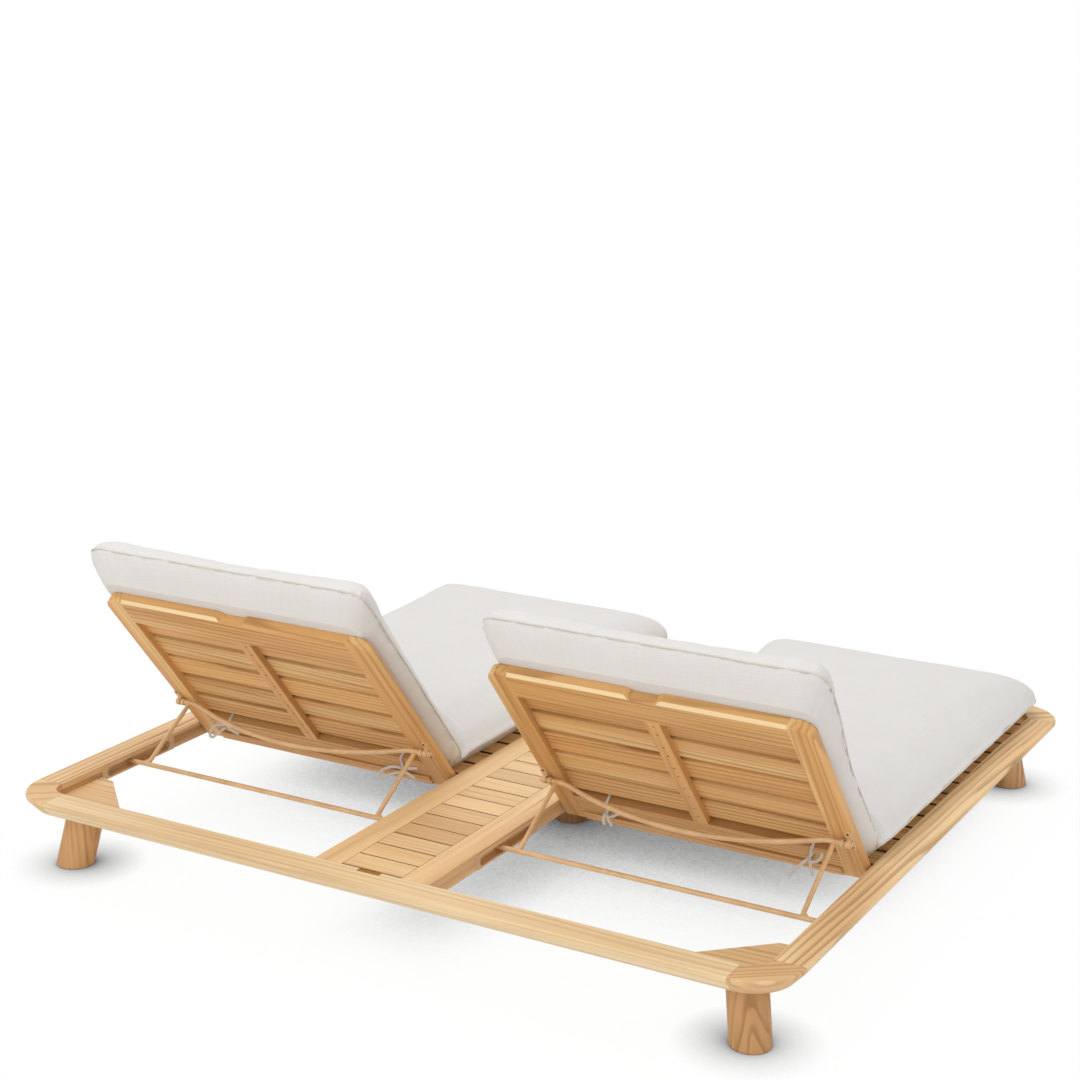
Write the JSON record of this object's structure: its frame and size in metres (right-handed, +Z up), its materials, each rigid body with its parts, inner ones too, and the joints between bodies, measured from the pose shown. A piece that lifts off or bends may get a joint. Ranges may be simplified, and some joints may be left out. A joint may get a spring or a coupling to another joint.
{
  "type": "double chaise lounger",
  "caption": "Low wooden double sun lounger with a slatted spine between two mattresses, each on its own reclining slatted backrest held up by a rod stay that slides in slots in the rails.",
  "frame": {"origin": "on the floor, under the middle of the outer frame", "axes": "+X across the two loungers, +Y from the head end to the foot end, +Z up"},
  "size_m": [2.114, 2.012, 0.7959],
  "materials": {
    "teak": "satin",
    "coated_metal": "satin",
    "screw_steel": "satin",
    "label_brass": "satin",
    "cushion_fabric": "matte",
    "tie_tape": "matte"
  },
  "bodies": {
    "frame": {"head_rail": "teak", "foot_rail": "teak", "side_rail_left": "teak", "side_rail_right": "teak", "corner_block_head_left": "teak", "corner_block_head_right": "teak", "corner_block_foot_left": "teak", "corner_block_foot_right": "teak", "corner_gusset_head_left": "teak", "corner_gusset_head_right": "teak", "corner_gusset_foot_left": "teak", "corner_gusset_foot_right": "teak", "leg_head_left": "teak", "leg_head_right": "teak", "leg_foot_left": "teak", "leg_foot_right": "teak", "centre_leg": "teak", "leg_studs": "screw_steel", "centre_bearer": "teak", "spine_rail_left": "teak", "spine_rail_right": "teak", "spine_ledgers": "teak", "spine_slats": "teak", "seat_slats_left": "teak", "seat_slats_right": "teak", "seat_ledgers_left": "teak", "seat_ledgers_right": "teak", "slot_plates_left": "coated_metal", "slot_plates_right": "coated_metal", "slot_plate_screws": "screw_steel", "label_plate": "label_brass", "hinge_pins": "screw_steel", "seat_cushion_left": "cushion_fabric", "seat_cushion_right": "cushion_fabric"},
    "backrest_left": {"stile_inner_left": "teak", "stile_outer_left": "teak", "top_rail_left": "teak", "bottom_rail_left": "teak", "back_slats_left": "teak", "back_batten_left": "teak", "backrest_screws_left": "screw_steel", "stay_brackets_left": "coated_metal", "back_cushion_left": "cushion_fabric", "cushion_ties_left": "tie_tape"},
    "stay_left": {"stay_bow_left": "coated_metal", "stay_struts_left": "coated_metal", "stay_cross_rod_left": "coated_metal"},
    "backrest_right": {"stile_inner_right": "teak", "stile_outer_right": "teak", "top_rail_right": "teak", "bottom_rail_right": "teak", "back_slats_right": "teak", "back_batten_right": "teak", "backrest_screws_right": "screw_steel", "stay_brackets_right": "coated_metal", "back_cushion_right": "cushion_fabric", "cushion_ties_right": "tie_tape"},
    "stay_right": {"stay_bow_right": "coated_metal", "stay_struts_right": "coated_metal", "stay_cross_rod_right": "coated_metal"}
  },
  "joints": [
    {"name": "backrest_left_recline", "type": "hinge", "parent": "frame", "child": "backrest_left", "pos_m": [0, -0.301, 0.178], "axis": [1, 0, 0], "range_deg": [-15, 47.4]},
    {"name": "stay_left_swing", "type": "hinge", "parent": "backrest_left", "child": "stay_left", "pos_m": [0, -0.42785, 0.29369], "axis": [1, 0, 0], "range_deg": [-83.3, 26.5]},
    {"name": "backrest_right_recline", "type": "hinge", "parent": "frame", "child": "backrest_right", "pos_m": [0, -0.301, 0.178], "axis": [1, 0, 0], "range_deg": [-15, 47.4]},
    {"name": "stay_right_swing", "type": "hinge", "parent": "backrest_right", "child": "stay_right", "pos_m": [0, -0.42785, 0.29369], "axis": [1, 0, 0], "range_deg": [-83.3, 26.5]}
  ],
  "couplings": [
    {"joint": "stay_left_swing", "follows": "backrest_left_recline", "ratio": -1.754},
    {"joint": "stay_right_swing", "follows": "backrest_right_recline", "ratio": -1.754}
  ]
}
